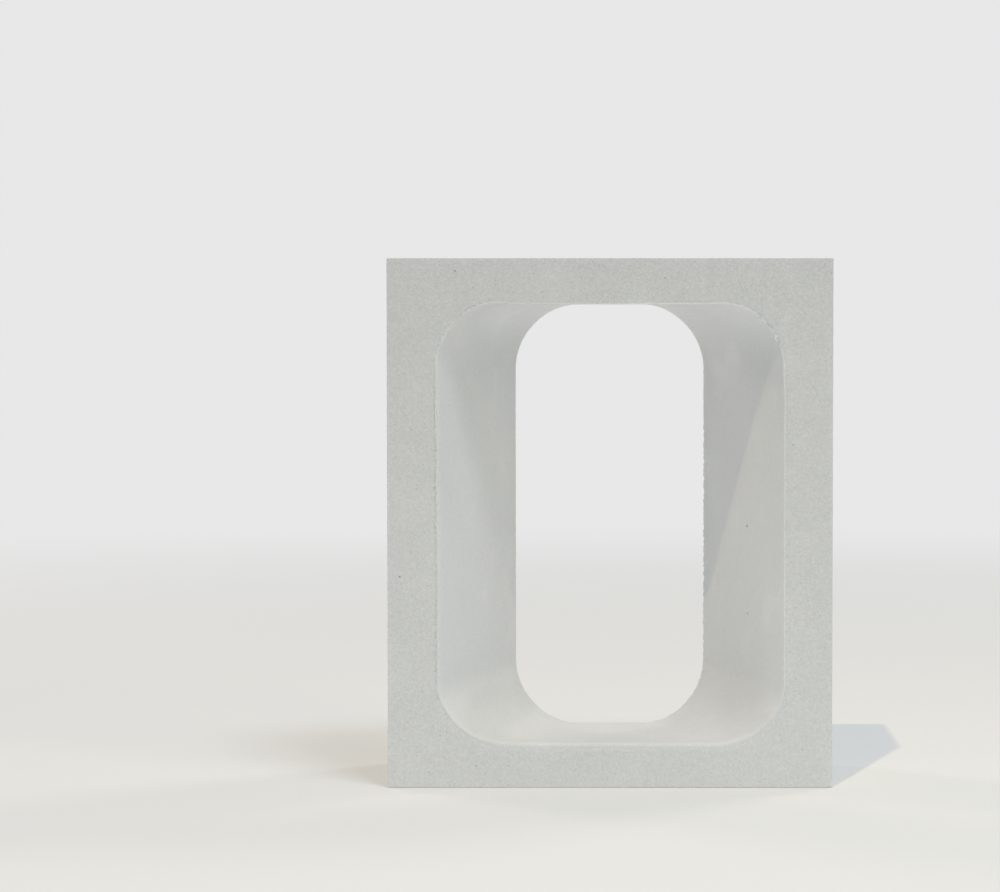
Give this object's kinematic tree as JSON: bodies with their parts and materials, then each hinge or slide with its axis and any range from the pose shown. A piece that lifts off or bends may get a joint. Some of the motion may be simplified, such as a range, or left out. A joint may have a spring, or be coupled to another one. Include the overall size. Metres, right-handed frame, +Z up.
{
  "type": "concrete screen block",
  "caption": "Upright precast concrete screen block with a flared, round-cornered opening right through it, for open walls that let light and air pass.",
  "frame": {"origin": "centre of the underside, where the block stands on a level floor or on its bed joint", "axes": "+Z up, +Y from the front face with the wide rim to the back face with the narrow throat, +X to the right seen from the front"},
  "size_m": [0.252, 0.1, 0.3],
  "materials": {
    "concrete": "matte"
  },
  "bodies": {
    "root": {"screen_block": "concrete"}
  },
  "joints": []
}
